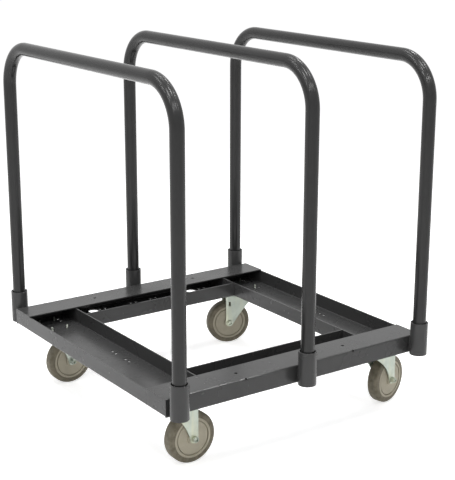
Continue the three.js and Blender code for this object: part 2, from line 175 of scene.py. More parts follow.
class CART_PG_wheels(bpy.types.PropertyGroup):
    """Sizes of the wheels."""
    diameter: length("Wheel diameter", "Diameter over the tread", 127)
    width: length("Wheel width", "Width of the wheel", 32)
    tread: length("Tread thickness", "Height of the tyre over the core", 14.2)
    shoulder_height: length("Shoulder height", "Height of the tyre's rounded shoulder", 10.5)
    shoulder_width: length("Shoulder width", "Width of the tyre's rounded shoulder", 7.5)
    seat_gap: length("Seat gap", "Gap between the tyre and its core", 0.3)
    bead: length("Bead width", "Width of the raised ring round the core's face", 5.8)
    groove_width: length("Groove width", "Width of the ring groove", 2.3)
    groove_depth: length("Groove depth", "Depth of the ring groove", 4)
    face_inset: length("Face inset", "How far the core's face lies behind its bead", 0.8)
    boss_diameter: length("Boss diameter", "Diameter of the boss round the axle", 30)
    boss_end: length("Boss end", "Distance from the wheel's middle to the end of its boss", 18.7)
    bore_diameter: length("Bore diameter", "Diameter of the core's bore", 13.9)
    easing: length("Edge easing", "How far the moulded edges are rounded", 0.6)


class CART_PG_forks(bpy.types.PropertyGroup):
    """Sizes of the caster forks."""
    trail: length("Trail", "Distance from the swivel axis to the axle", 43)
    inside: length("Half width inside", "Distance from the wheel's middle to a leg", 19)
    sheet: length("Sheet", "Thickness of the pressed sheet", 3.2)
    bend: length("Bend radius", "Outside radius of the bends at the crown", 6)
    rim: length("Crown rim", "How far the crown stands out past the legs", 7.8)
    drop: length("Crown drop", "Height of the crown's upright front edge", 11)
    end_radius: length("Leg end radius", "Radius of a leg's round end about the axle", 11)
    end_turn: angle("Leg end turn", "Angle about the axle where the swept edge leaves the round end", 215)
    plain_sweep: lengths("Plain sweep", "Lower handle of a plain leg's swept edge, forwards and up from the "
                         "round end, then its upper handle", 7, 28, 18, 54)
    slotted_sweep: lengths("Slotted sweep", "The same two handles on a slotted leg", 17, 25, 33, 48)
    slot_width: length("Slot width", "Width of the slot near the top of a swivel fork's far leg", 6.5)
    slot_height: length("Slot height", "Height of that slot", 13)
    slot_rise: length("Slot rise", "Height of that slot's foot above the axle", 52)
    slot_setback: length("Slot setback", "Distance of that slot from the trailing edge", 8)
    race_height: length("Race height", "Height of the lower race on a swivel fork", 7)
    race_bore: length("Race bore", "Diameter of the hole for the kingpin", 12.6)
    race_foot: length("Race foot", "How far the race's foot stands out past the inside of the legs", 2)
    plate_length: length("Plate length", "Length of a rigid caster's plate, across the cart", 92)
    plate_width: length("Plate width", "Width of that plate", 60)
    plate_thickness: length("Plate thickness", "Thickness of that plate", 4)
    plate_corner: length("Plate corner", "Radius of that plate's corners", 8)
    easing: length("Edge easing", "How far the stamped edges are eased", 0.5)


class CART_PG_fasteners(bpy.types.PropertyGroup):
    """Sizes of the caster bolts and of the axle bolts."""
    bolt: length("Caster bolt", "Diameter of a caster bolt", 6.4)
    bolt_head: length("Caster bolt head", "Height of a caster bolt's head", 4.5)
    bolt_pitch: length("Caster bolt pitch", "Pitch of a caster bolt's thread", 1.27)
    axle: length("Axle bolt", "Diameter of an axle bolt", 9.5)
    axle_head: length("Axle bolt head", "Height of an axle bolt's head", 6)
    axle_nut: length("Axle nut", "Height of an axle nut", 8)
    axle_thread: length("Axle thread", "Length of thread past an axle nut", 3)
    axle_pitch: length("Axle pitch", "Pitch of an axle bolt's thread", 1.5)
    head_hollow: length("Head hollow", "Radius of the hollow in an axle bolt's head", 4.8)
    end_hollow: length("End hollow", "Radius of the hollow in an axle bolt's threaded end", 3.4)
    hollow_depth: length("Hollow depth", "Depth of both hollows", 5.2)
    nut_mouth: length("Nut mouth", "Radius of the countersunk end of an axle nut", 6.2)
    seat_gap: length("Seat gap", "Gap under a head or a nut", 0.3)
    across: FloatProperty(name="Hex share", description="Size across the flats, as a share of the diameter",
                          default=1.5, min=1.2, max=2)


class CART_PG_colours(bpy.types.PropertyGroup):
    """Colours of the finishes, each with the tone that it drifts to."""
    coat: colour("Powder coat", "Dark grey powder coat", "#414141")
    coat_thin: colour("Powder coat, thin", "The same coat where it lies thinner", "#393939")
    # The pipe's two tones are darker than the same powder on the sheet: painted shade for the dark surroundings
    # that the glossy pipe mirrors
    pipe: colour("Pipe coat", "Powder coat on the divider pipes", "#2d2d2d")
    pipe_thin_shaded: colour("Pipe coat, thin", "The same coat where it lies thinner", "#262626")
    zinc: colour("Zinc", "Zinc plating on the forks", "#c0c9be")
    zinc_dull: colour("Zinc, dull", "The same plating where it has dulled", "#a5aca2")
    fastener: colour("Fastener", "Zinc plating on the caster bolts", "#8b8e87")
    fastener_grime: colour("Fastener, grimed", "The same plating under grime", "#60635d")
    zinc_straw: colour("Zinc, straw", "Straw tint that passivation leaves in streaks", "#c8c8ac")
    tread: colour("Tread", "Polyurethane tread", "#605a48")
    tread_dust: colour("Tread, dusty", "The same tread under a film of dust", "#7c7564")
    core: colour("Core", "Moulded wheel core", "#b8b19d")
    core_worn: colour("Core, worn", "The same core where it is rubbed", "#a69f8c")
    floor: colour("Floor", "Studio floor", "#f2f2f2")
    floor_fibre: colour("Floor, fibre", "The same paper where its fibres lie thicker", "#eeeeee")


class CART_PG_stage(bpy.types.PropertyGroup):
    """Where the camera stands and how the studio is lit."""
    aim: FloatVectorProperty(name="Aim", description="Point that the camera looks at", size=3,
                             default=(0.0277, -0.0066, 0.422), unit="LENGTH", subtype="TRANSLATION")
    distance: length("Distance", "Distance from the camera to that point", 3152.9)
    yaw: angle("Yaw", "Turn of the camera from the cart's depth", 34.852)
    pitch: angle("Pitch", "How far the camera looks down", 15.537)
    roll: angle("Roll", "Tilt of the camera about its view", 0.113)
    lens: FloatProperty(name="Lens", description="Focal length on a 36 mm frame", default=91.0, unit="CAMERA")
    floor_size: length("Floor size", "Side of the studio floor", 60000)
    light_height: length("Light height", "Height of the lights over the floor", 3100)
    softbox_size: length("Softbox size", "Side of the softbox overhead", 2600)
    softbox_power: power("Softbox power", "Power of the softbox overhead", 50)
    tube_width: length("Tube width", "Width of a ceiling light", 120)
    tube_length: length("Tube length", "Length of a ceiling light, along Y", 550)
    tube_power: power("Tube power", "Power of one ceiling light", 8.8)
    glint_power: power("Glint power", "Power that a ceiling light adds in reflections alone", 20)
    sky: FloatProperty(name="Sky", description="Strength of the even light all round", default=0.42)


class CART_PG_settings(bpy.types.PropertyGroup):
    """All that a user would change on the cart."""
    dividers: PointerProperty(type=CART_PG_dividers)
    wheels: PointerProperty(type=CART_PG_wheels)
    forks: PointerProperty(type=CART_PG_forks)
    fasteners: PointerProperty(type=CART_PG_fasteners)
    colours: PointerProperty(type=CART_PG_colours)
    stage: PointerProperty(type=CART_PG_stage)


def corners_of(node):
    """The lowest and highest corner of a CAD node as arrays."""
    low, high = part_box(node)
    return np.array(low), np.array(high)


def upright_axis(low, high):
    """The foot of the upright line through the middle of a box."""
    return np.array([*(low[:2] + high[:2]) / 2, 0.0])


def surface(points, close_rows=False, close_columns=True):
    """A grid of points as vertices and quads. A closed direction joins its last line to its first."""
    rows, columns = points.shape[:2]
    index = np.arange(rows * columns).reshape(rows, columns)
    if close_rows:
        index = np.vstack([index, index[:1]])
    if close_columns:
        index = np.hstack([index, index[:, :1]])
    quads = np.stack([index[:-1, :-1], index[1:, :-1], index[1:, 1:], index[:-1, 1:]], axis=-1)
    return points.reshape(-1, 3), quads.reshape(-1, 4)


def outwards(shell):
    """The shell with its quads turned to enclose a positive volume, the sum of the corner triple products."""
    vertices, quads = shell
    a, b, c, d = np.moveaxis(vertices[quads], 1, 0)
    volume = np.sum(a * np.cross(b, c)) + np.sum(a * np.cross(c, d))
    return vertices, quads if volume > 0 else quads[:, ::-1]


def make_mesh(name, shells):
    """One mesh from several shells, with the points that meet at a pole merged."""
    starts = np.cumsum([0] + [len(vertices) for vertices, _ in shells[:-1]])
    vertices = np.concatenate([vertices for vertices, _ in shells])
    quads = np.concatenate([quads + start for (_, quads), start in zip(shells, starts)])
    mesh = bpy.data.meshes.new(name)
    mesh.from_pydata(vertices.tolist(), [], quads.tolist())
    merged = bmesh.new()
    merged.from_mesh(mesh)
    bmesh.ops.remove_doubles(merged, verts=merged.verts, dist=SAME_PLACE)
    merged.to_mesh(mesh)
    merged.free()
    return mesh


def finish_mesh(mesh):
    """Smooth shading that breaks at sharp edges."""
    mesh.shade_smooth()
    mesh.set_sharp_from_angle(angle=CREASE)


def add_piece(name, shells, material, nodes, body=None):
    """A piece made of closed shells, riding on the body of the nodes that it stands for."""
    mesh = make_mesh(name, [outwards(shell) for shell in shells])
    finish_mesh(mesh)
    place_piece(name, mesh, material, nodes, body)


def place_piece(name, mesh, material, nodes, body=None):
    """An object at the origin for a finished mesh, with its material, body and CAD nodes."""
    mesh.materials.append(material)
    piece = bpy.data.objects.new(name, mesh)
    bpy.context.scene.collection.objects.link(piece)
    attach(piece, body or NODE_BODY[nodes[0]])
    if nodes:
        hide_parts(*nodes)


def eased(corners, easing, steps=4):
    """A closed profile with rounded corners, each a quadratic curve between points set back on its sides."""
    corners = np.asarray(corners, float)
    back = np.broadcast_to(np.asarray(easing, float), len(corners))[:, None]
    before = np.roll(corners, 1, axis=0) - corners
    after = np.roll(corners, -1, axis=0) - corners
    start = corners + before * np.minimum(back / np.linalg.norm(before, axis=1, keepdims=True), 0.5)
    end = corners + after * np.minimum(back / np.linalg.norm(after, axis=1, keepdims=True), 0.5)
    part = np.linspace(0, 1, steps + 1)[None, :, None]
    middle = corners[:, None]
    curve = start[:, None] * (1 - part) ** 2 + 2 * middle * part * (1 - part) + end[:, None] * part ** 2
    return curve.reshape(-1, 2)


def directions(axis):
    """Two unit vectors square to an axis and to each other."""
    side = np.cross(axis, UP) if abs(axis[2]) < STEEP else np.array([1.0, 0.0, 0.0])
    side = side / np.linalg.norm(side)
    return side, np.cross(axis, side)


def turned(radius, height, origin, axis, sides):
    """Radii carried round an axis: point = origin + radius (cos a side + sin a across) + height axis.
    The radius is one value for each height, or a row of values, one for each angle."""
    side, across = directions(axis)
    turn = np.linspace(0, 2 * np.pi, sides, endpoint=False)
    ring = np.cos(turn)[:, None] * side + np.sin(turn)[:, None] * across
    radius = np.broadcast_to(radius if np.ndim(radius) == 2 else radius[:, None], (len(height), sides))
    return origin + radius[:, :, None] * ring + np.asarray(height)[:, None, None] * axis


def lathe(profile, origin, axis, sides):
    """A closed profile of radius and height turned about an axis, left open where it starts on the axis."""
    ring_shaped = profile[0, 0] > 0
    return surface(turned(profile[:, 0], profile[:, 1], origin, axis, sides), close_rows=ring_shaped)


def wheel_place(corner):
    """The middle of a wheel, the direction of its axle and the direction in which it trails."""
    joint = JOINTS[f"{corner}_wheel_spin"]
    axle = np.array(joint["axis"], float)
    axle = axle / np.linalg.norm(axle)
    return np.array(joint["pos_m"], float), axle, np.cross(axle, UP)


# Materials

def add_node(tree, kind, inputs=None, **settings):
    """One node with its own settings, and its sockets set to values or linked to other nodes' outputs."""
    node = tree.nodes.new(f"ShaderNode{kind}")
    for name, value in settings.items():
        setattr(node, name, value)
    for socket, value in (inputs or {}).items():
        if isinstance(value, bpy.types.NodeSocket):
            tree.links.new(value, node.inputs[socket])
        else:
            node.inputs[socket].default_value = value
    return node


def per_size(millimetres):
    """Texture scale whose pattern repeats about once in that real size."""
    return 1 / (millimetres * MM)


def solid(rgb):
    """A colour with full alpha, for a socket."""
    return (*rgb, 1.0)


def clouds(tree, place, tones, noise, gloss, parting=(0.0, 1.0)):
    """A colour and a roughness that drift together over the surface. The noise has the given inputs, each
    tone is pure at one of the two values in the parting, and the gloss is the roughness at both ends."""
    drift = add_node(tree, "TexNoise", {"Vector": place, **noise}).outputs["Fac"]
    share = add_node(tree, "MapRange", {"Value": drift, "From Min": parting[0], "From Max": parting[1]})
    tone = add_node(tree, "Mix", {0: share.outputs["Result"], 6: solid(tones[0]), 7: solid(tones[1])},
                    data_type="RGBA")
    rough = add_node(tree, "MapRange", {"Value": drift, **NOISE_SPAN, "To Min": gloss[0], "To Max": gloss[1]})
    return {"Base Color": tone.outputs[2], "Roughness": rough.outputs["Result"]}


def grained(tree, place, size, detail, strength, height):
    """A bumpy skin whose grain has that size and height in millimetres."""
    grain = add_node(tree, "TexNoise", {"Vector": place, "Scale": per_size(size), "Detail": detail})
    skin = add_node(tree, "Bump", {"Height": grain.outputs["Fac"], "Strength": strength,
                                   "Distance": height * MM})
    return {"Normal": skin.outputs["Normal"]}


def powder_coat(tree, place, tones, roughest, shine, peel):
    """Baked polyester powder on mild steel: its two tones, its highest roughness, how much it mirrors and how
    strong its orange peel is."""
    # Baked powder gives a satin skin: a faint orange peel breaks up reflections, and the film drifts in tone
    film = clouds(tree, place, tones, {"Scale": per_size(70), "Detail": 3.0},
                  gloss=(SMOOTH_SHARE * roughest, roughest))
    # Real orange peel is about 2 mm across; it is drawn at 4 mm, because finer would not show
    skin = grained(tree, place, size=4, detail=1.5, strength=peel, height=0.4)
    return add_node(tree, "BsdfPrincipled", {**film, **skin, "IOR": 1.5, "Specular IOR Level": shine})


def powder_coated_steel(tree, place, colours):
    """Folded sheet and sockets, sprayed and baked."""
    return powder_coat(tree, place, (colours.coat, colours.coat_thin), roughest=0.3, shine=0.28, peel=0.06)


def powder_coated_pipe_shaded(tree, place, colours):
    """Divider pipe in the same powder, which lies smoother on drawn pipe; its darker colour is painted shade for
    the dark surroundings that the glossy pipe mirrors.
    """
    # The darker pipe tones are painted shade, standing in for the dark surroundings that the pipe mirrors
    return powder_coat(tree, place, (colours.pipe, colours.pipe_thin_shaded), roughest=0.24, shine=0.28, peel=0.01)


def zinc_plated_steel(tree, place, colours):
    """Pressed steel sheet, barrel plated with zinc and passivated."""
    # Plating gives a pale, slightly green metal with soft cloudy patches and fine rolling grain
    plating = clouds(tree, place, (colours.zinc, colours.zinc_dull), {"Scale": per_size(18), "Detail": 4.0},
                     gloss=(0.34, 0.5))
    # Passivation drains down the sheet and leaves faint straw bands about 24 mm wide
    along = add_node(tree, "Mapping", {"Vector": place, "Scale": (1.0, 1.0, 0.12)}).outputs["Vector"]
    band = add_node(tree, "TexNoise", {"Vector": along, "Scale": per_size(24), "Detail": 2.0})
    tint = add_node(tree, "MapRange", {"Value": band.outputs["Fac"], "From Min": 0.5, "From Max": 0.7,
                                       "To Max": 0.6})
    tone = add_node(tree, "Mix", {0: tint.outputs["Result"], 6: plating["Base Color"],
                                  7: solid(colours.zinc_straw)}, data_type="RGBA")
    # Rolling grain is about 0.3 mm wide; it is drawn at 1.5 mm, because finer would not show
    skin = grained(tree, along, size=1.5, detail=2.0, strength=0.1, height=0.15)
    plating["Base Color"] = tone.outputs[2]
    return add_node(tree, "BsdfPrincipled", {**plating, **skin, "Metallic": 0.6})


def polyurethane_tread(tree, place, colours):
    """Cast polyurethane tread."""
    # Cast urethane is dull and slightly mottled, with pale dust caught in its skin
    dust = clouds(tree, place, (colours.tread, colours.tread_dust), {"Scale": per_size(14), "Detail": 5.0},
                  gloss=(0.55, 0.7), parting=(0.36, 0.64))
    # Mould grain is about 0.5 mm; it is drawn at 2 mm, because finer would not show
    skin = grained(tree, place, size=2, detail=2.0, strength=0.15, height=0.2)
    return add_node(tree, "BsdfPrincipled", {**dust, **skin, "IOR": 1.5})


def polypropylene_core(tree, place, colours):
    """Injection moulded polypropylene."""
    # Moulded polypropylene is waxy and matt, with faint flow marks and rubbed patches
    flow = clouds(tree, place, (colours.core, colours.core_worn),
                  {"Scale": per_size(30), "Detail": 4.0, "Distortion": 1.2}, gloss=(0.45, 0.6))
    # Its mould grain is drawn as coarse as the tread's
    skin = grained(tree, place, size=2, detail=2.0, strength=0.06, height=0.1)
    return add_node(tree, "BsdfPrincipled", {**flow, **skin, "IOR": 1.49})


def zinc_plated_fastener(tree, place, colours):
    """Cold-headed steel fasteners, zinc plated."""
    # Small plated parts are duller than the pressed sheet, with dark grime between their threads and faces
    grime = clouds(tree, place, (colours.fastener, colours.fastener_grime),
                   {"Scale": per_size(5), "Detail": 4.0}, gloss=(0.28, 0.42))
    return add_node(tree, "BsdfPrincipled", {**grime, "Metallic": 1.0})


def studio_floor(tree, place, colours):
    """Matt paper floor that is white to the eye and still holds a faint shadow."""
    # Paper scatters the studio light; rays that are seen, mirrored or sent through find a white glow as well
    fibre = add_node(tree, "TexNoise", {"Vector": place, "Scale": per_size(400), "Detail": 2.0})
    tone = add_node(tree, "Mix", {0: fibre.outputs["Fac"], 6: solid(colours.floor),
                                  7: solid(colours.floor_fibre)}, data_type="RGBA")
    paper = add_node(tree, "BsdfDiffuse", {"Color": tone.outputs[2]})
    share = add_node(tree, "Math", {0: seen_directly(tree), 1: FLOOR_GLOW}, operation="MULTIPLY")
    white = add_node(tree, "Emission", {"Color": WHITE, "Strength": share.outputs[0]})
    return add_node(tree, "AddShader", {0: paper.outputs[0], 1: white.outputs[0]})


def seen_directly(tree):
    """One for a camera, glossy or transmission ray and nought for the rays that light the cart."""
    path = add_node(tree, "LightPath").outputs
    seen = path["Is Camera Ray"]
    for ray in ("Is Glossy Ray", "Is Transmission Ray"):
        seen = add_node(tree, "Math", {0: seen, 1: path[ray]}, operation="MAXIMUM").outputs[0]
    return seen


def finish_of(recipe, context):
    """The material of a recipe, which reads Object coordinates, made the first time that it is asked for."""
    name = recipe.__name__
    if name not in bpy.data.materials:
        material = bpy.data.materials.new(name)
        material.use_nodes = True
        tree = material.node_tree
        tree.nodes.clear()
        place = add_node(tree, "TexCoord").outputs["Object"]
        shader = recipe(tree, place, context.scene.cart.colours)
        add_node(tree, "OutputMaterial", {"Surface": shader.outputs[0]})
    return bpy.data.materials[name]


# Shapes

def pipe_stations(half_span, foot, top, radius, steps=41):
    """Stations on a divider's centre line: a leg, a quarter circle, a bar, a quarter circle and a leg.
    Each has its y and z, and the y and z of the outward normal."""
    turn = np.linspace(0, np.pi / 2, steps)
    corner = half_span - radius
    spring = top - radius
    front_y = -corner - radius * np.cos(turn)
    rise = spring + radius * np.sin(turn)
    y = np.concatenate([[-half_span], front_y, -front_y[::-1], [half_span]])
    z = np.concatenate([[foot], rise, rise[::-1], [foot]])
    normal_y = np.concatenate([[-1], -np.cos(turn), np.cos(turn[::-1]), [1]])
    normal_z = np.concatenate([[0], np.sin(turn), np.sin(turn[::-1]), [0]])
    return y, z, normal_y, normal_z


def bent_pipe(x, stations, radius, wall, sides=PIPE_SIDES):
    """A pipe round the centre line: point = centre + r (cos a normal + sin a X), outside first, then bore."""
    turn = np.linspace(0, 2 * np.pi, sides, endpoint=False)
    r = np.repeat([radius, radius - wall], len(stations[0]))[:, None]
    y, z, normal_y, normal_z = [np.concatenate([values, values[::-1]])[:, None] for values in stations]
    points = np.stack([x + r * np.sin(turn), y + r * np.cos(turn) * normal_y,
                       z + r * np.cos(turn) * normal_z], axis=-1)
    return surface(points, close_rows=True)


def weld_bead(start, end, size, pitch, sides=14, per_ripple=4, taper=8):
    """A straight bead: radius = size times a scalloped wave of the way along it, drawn in to nothing at both
    ends by a power of the distance from its middle."""
    axis = end - start
    reach = np.linalg.norm(axis)
    along = np.linspace(0, reach, 1 + per_ripple * math.ceil(reach / pitch))
    scallop = 1 - RIPPLE + RIPPLE * np.abs(np.sin(np.pi * along / pitch))
    radius = size * scallop * np.sqrt(1 - (2 * along / reach - 1) ** taper)
    return surface(turned(radius, along, start, axis / reach, sides))


def tyre_profile(wheels, steps=15):
    """Half of a tyre is its bore and a quarter ellipse from side to tread. The other half mirrors it."""
    half = wheels.width / 2
    radius = wheels.diameter / 2
    turn = np.linspace(0, np.pi / 2, steps)
    shoulder_r = radius - wheels.shoulder_height + wheels.shoulder_height * np.cos(turn)
    shoulder_h = half - wheels.shoulder_width + wheels.shoulder_width * np.sin(turn)
    bore = radius - wheels.tread + wheels.seat_gap
    r = np.concatenate([[bore], shoulder_r[::-1], shoulder_r, [bore]])
    h = np.concatenate([[-half], -shoulder_h[::-1], shoulder_h, [half]])
    return np.stack([r, h], axis=1)


def core_profile(wheels):
    """Bead, ring groove, flat face, boss and bore of a core, with the other face as its mirror image."""
    bead = wheels.width / 2
    face = bead - wheels.face_inset
    floor = face - wheels.groove_depth
    outer = wheels.diameter / 2 - wheels.tread
    inner = outer - wheels.bead
    boss = wheels.boss_diameter / 2
    upper = np.array([(outer, bead), (inner, bead), (inner, floor), (inner - wheels.groove_width, floor),
                      (inner - wheels.groove_width, face), (boss, face), (boss, wheels.boss_end),
                      (wheels.bore_diameter / 2, wheels.boss_end)])
    lower = upper[::-1] * (1, -1)
    return eased(np.concatenate([lower, upper]), wheels.easing)


def swept_edge(forks, sweep, axle_height, top, steps=60):
    """Points of a leg's leading edge from the round end up to the crown: a cubic curve of x and z."""
    start = np.array([forks.trail + forks.end_radius * math.cos(forks.end_turn),
                      axle_height + forks.end_radius * math.sin(forks.end_turn)])
    end = np.array([-(forks.inside + forks.sheet + forks.rim), top - forks.drop])
    first = start + (-sweep[0], sweep[1])
    second = start + (-sweep[2], sweep[3])
    part = np.linspace(0, 1, steps)[:, None]
    rest = 1 - part
    return start * rest ** 3 + 3 * first * part * rest ** 2 + 3 * second * part ** 2 * rest + end * part ** 3


def fork_sheet(forks, axle_height, top, slotted, end_rows=13, shank_rows=21, neck_rows=6, bend_rows=6,
               columns=11):
    """The middle of a fork's sheet as a grid: rows run up the near leg, over the crown and down the far leg,
    columns from the leading to the trailing edge. The cells of the far leg's slot are left out."""
    middle = forks.inside + forks.sheet / 2
    bend = forks.bend - forks.sheet / 2
    crown = top - forks.sheet / 2
    round_end = axle_height - forks.end_radius * np.cos(np.linspace(0, np.pi / 2, end_rows))
    slot_low = axle_height + forks.slot_rise
    slot_high = slot_low + forks.slot_height
    shank = np.linspace(axle_height, slot_low, shank_rows + 1)[1:]
    neck = np.linspace(slot_high, crown - bend, neck_rows)
    leg = np.concatenate([round_end, shank, neck])
    turn = np.linspace(0, np.pi / 2, bend_rows + 1)[1:]
    bend_y = middle - bend + bend * np.cos(turn)
    bend_z = crown - bend + bend * np.sin(turn)
    half_y = np.concatenate([np.full(len(leg), middle), bend_y])
    half_z = np.concatenate([leg, bend_z])
    y = np.concatenate([-half_y, half_y[::-1]])
    z = np.concatenate([half_z, half_z[::-1]])
    near = swept_edge(forks, forks.plain_sweep, axle_height, top)
    far = swept_edge(forks, forks.slotted_sweep if slotted else forks.plain_sweep, axle_height, top)
    swept = np.where(y < 0, np.interp(z, near[:, 1], near[:, 0]), np.interp(z, far[:, 1], far[:, 0]))
    below = np.maximum(forks.end_radius ** 2 - (z - axle_height) ** 2, 0)
    lead = np.where(z < near[0, 1], forks.trail - np.sqrt(below), swept)
    rear = forks.trail + np.where(z < axle_height, np.sqrt(below), forks.end_radius)
    width = rear - lead
    slot_rear = np.minimum(forks.slot_setback, width * SLOT_REAR)
    slot_lead = np.minimum(forks.slot_setback + forks.slot_width, width * SLOT_LEAD)
    spread = np.linspace(0, 1, columns)[None, :]
    x = np.concatenate([lead[:, None] + (width - slot_lead)[:, None] * spread,
                        (rear - slot_rear)[:, None], rear[:, None]], axis=1)
    y_grid, z_grid = (np.broadcast_to(values[:, None], x.shape) for values in (y, z))
    vertices, quads = surface(np.stack([x, y_grid, z_grid], axis=-1), close_columns=False)
    centre = vertices[quads].mean(axis=1)
    # The last spread column is the slot's leading edge, and two more columns follow it
    in_slot_column = np.arange(len(quads)) % (columns + 1) == columns - 1
    in_slot_row = (centre[:, 2] > slot_low) & (centre[:, 2] < slot_high) & (centre[:, 1] > 0)
    return vertices, quads[~(slotted & in_slot_column & in_slot_row)]


def rounded_plate(centre, half_x, half_y, low, high, corner, easing, per_corner=7):
    """A flat plate: an outline of four quarter circles, inset at both faces and closed to a point."""
    quarter = np.arange(4)[:, None]
    turn = (quarter * np.pi / 2 + np.linspace(0, np.pi / 2, per_corner)[None, :]).ravel()
    sign_x = np.repeat([1, -1, -1, 1], per_corner)
    sign_y = np.repeat([1, 1, -1, -1], per_corner)
    share = np.array([0, 1, 1, 1, 1, 0])[:, None]
    inset = np.array([0, easing, 0, 0, easing, 0])[:, None]
    height = np.array([low, low, low + easing, high - easing, high, high])[:, None]
    x = centre[0] + share * (sign_x * (half_x - corner) + (corner - inset) * np.cos(turn))
    y = centre[1] + share * (sign_y * (half_y - corner) + (corner - inset) * np.sin(turn))
    return surface(np.stack([x, y, np.broadcast_to(height, x.shape)], axis=-1))


def hex_stage(low, high, across, sides, high_end_free=True, rows=5):
    """Heights and radii of a chamfered hexagon. The radius is the smaller of half the size across the flats
    over the cosine of the angle from the nearest flat, and a cone that starts inside each free end."""
    flat = across / 2
    bevel = flat * CHAMFER_HEIGHT
    height = np.concatenate([np.linspace(low, low + bevel, rows), np.linspace(high - bevel, high, rows)])
    turn = np.linspace(0, 2 * np.pi, sides, endpoint=False)
    from_flat = (turn + np.pi / 6) % (np.pi / 3) - np.pi / 6
    hexagon = flat / np.cos(from_flat)
    from_end = np.minimum(height - low, high - height) if high_end_free else height - low
    cone = flat * CHAMFER_RADIUS + from_end * CHAMFER_SLOPE
    return height, np.minimum(hexagon[None, :], cone[:, None])


def thread_stage(low, high, diameter, pitch, sides, per_pitch=8):
    """Heights and radii of a screw thread: the outer radius less a triangle wave of height over pitch less
    turn, drawn in at its chamfered upper end."""
    depth = THREAD_DEPTH * pitch
    height = np.linspace(low, high, int(round((high - low) / pitch * per_pitch)))
    turn = np.linspace(0, 1, sides, endpoint=False)
    wave = np.abs(2 * ((height[:, None] / pitch - turn[None, :]) % 1) - 1)
    chamfer = diameter / 2 - depth + (high - height)
    return height, np.minimum(diameter / 2 - depth * wave, chamfer[:, None])


def hollow_stage(start, end, radius, sides):
    """Heights and radii of a round hollow in one end of a turned piece: two equal rings, mouth and floor."""
    return np.array([start, end]), np.full((2, sides), radius)


def stacked(stages, origin, axis, sides):
    """Stages of a turned piece set end to end on one axis, closed to a point at both ends."""
    nothing = np.zeros((1, sides))
    radius = np.concatenate([nothing] + [radius for height, radius in stages] + [nothing])
    height = np.concatenate([height for height, radius in stages])
    height = np.concatenate([height[:1], height, height[-1:]])
    return surface(turned(radius, height, origin, axis, sides))


# Operators

class CART_OT_frame_finish(bpy.types.Operator):
    """Give the folded channels, cap angles and hidden caster parts their finishes"""
    bl_idname = "cart.frame_finish"
    bl_label = "Base finish"

    def execute(self, context):
        hidden = [f"{corner}_bush" for corner in CORNERS]
        hidden += [f"{corner}_{part}" for corner in SWIVELS for part in ("top_plate", "kingpin")]
        for nodes, recipe in ((COATED_NODES, powder_coated_steel), (hidden, zinc_plated_steel)):
            for node in nodes:
                mesh = frame["nodes"][node].data
                mesh.materials.clear()
                mesh.materials.append(finish_of(recipe, context))
        return {"FINISHED"}


class CART_OT_dividers(bpy.types.Operator):
    """Bend the three pipe dividers"""
    bl_idname = "cart.dividers"
    bl_label = "Dividers"

    def execute(self, context):
        sizes = context.scene.cart.dividers
        for place in DIVIDERS:
            node = f"{place}_divider"
            low, high = corners_of(node)
            radius = (high[0] - low[0]) / 2
            half_span = (high[1] - low[1]) / 2 - radius
            stations = pipe_stations(half_span, low[2], high[2] - radius, sizes.bend_radius)
            pipe = bent_pipe((low[0] + high[0]) / 2, stations, radius, sizes.pipe_wall)
            add_piece(f"{place}_divider_pipe", [pipe], finish_of(powder_coated_pipe_shaded, context),
                      [node])
        return {"FINISHED"}


class CART_OT_sockets(bpy.types.Operator):
    """Turn the six pipe sockets and lay the weld beads that hold them"""
    bl_idname = "cart.sockets"
    bl_label = "Sockets and welds"

    def execute(self, context):
        sizes = context.scene.cart.dividers
        coat = finish_of(powder_coated_steel, context)
        outer = sizes.socket_diameter / 2
        bore = outer - sizes.socket_wall
        reach = outer * WELD_SPREAD
        # The three sawn edges are eased, and the corners of the floor stay square
        easing = np.array([0, 1, 1, 1, 0, 0]) * sizes.socket_easing
        beads = []
        for node in SOCKETS:
            low, high = corners_of(node)
            centre = upright_axis(low, high)
            floor = low[2] + sizes.socket_floor
            corners = [(0, low[2]), (outer, low[2]), (outer, high[2]), (bore, high[2]), (bore, floor),
                       (0, floor)]
            socket = lathe(eased(corners, easing), centre, UP, PIPE_SIDES)
            add_piece(f"{node}_pipe", [socket], coat, [node])
            cap_low, cap_high = corners_of(f"{node.split('_')[0]}_cap_angle")
            side = np.sign(centre[1])
            face = cap_high[1] if side > 0 else cap_low[1]
            line = face + side * sizes.weld_size * WELD_LIFT
            for across in (-reach, reach):
                foot = np.array([centre[0] + across, line, low[2] + sizes.weld_start])
                head = np.array([*foot[:2], cap_high[2] - sizes.weld_stop])
                beads.append(weld_bead(foot, head, sizes.weld_size, sizes.weld_pitch))
        base = NODE_BODY[SOCKETS[0]]
        add_piece("socket_welds", beads, coat, [], body=base)
        add_piece("channel_welds", self.channel_welds(sizes), coat, [], body=base)
        return {"FINISHED"}

    def channel_welds(self, sizes):
        """Beads in the corners where the floors of the cross channels meet the walls of the end channels."""
        beads = []
        for node in ("front_channel", "rear_channel"):
            low, high = corners_of(node)
            for x in (low[0], high[0]):
                near = np.array([x, low[1] + sizes.joint_setback, low[2] + sizes.channel_sheet])
                far = np.array([x, high[1] - sizes.joint_setback, low[2] + sizes.channel_sheet])
                beads.append(weld_bead(near, far, sizes.joint_weld, sizes.weld_pitch))
        return beads


class CART_OT_wheels(bpy.types.Operator):
    """Turn the tyres and the moulded cores"""
    bl_idname = "cart.wheels"
    bl_label = "Wheels"

    def execute(self, context):
        sizes = context.scene.cart.wheels
        tread = finish_of(polyurethane_tread, context)
        core = finish_of(polypropylene_core, context)
        for corner in CORNERS:
            middle, axle, _ = wheel_place(corner)
            tyre = lathe(tyre_profile(sizes), middle, axle, TYRE_SIDES)
            add_piece(f"{corner}_tread", [tyre], tread, [f"{corner}_tyre"])
            hub = lathe(core_profile(sizes), middle, axle, CORE_SIDES)
            add_piece(f"{corner}_hub", [hub], core, [f"{corner}_core"])
        return {"FINISHED"}


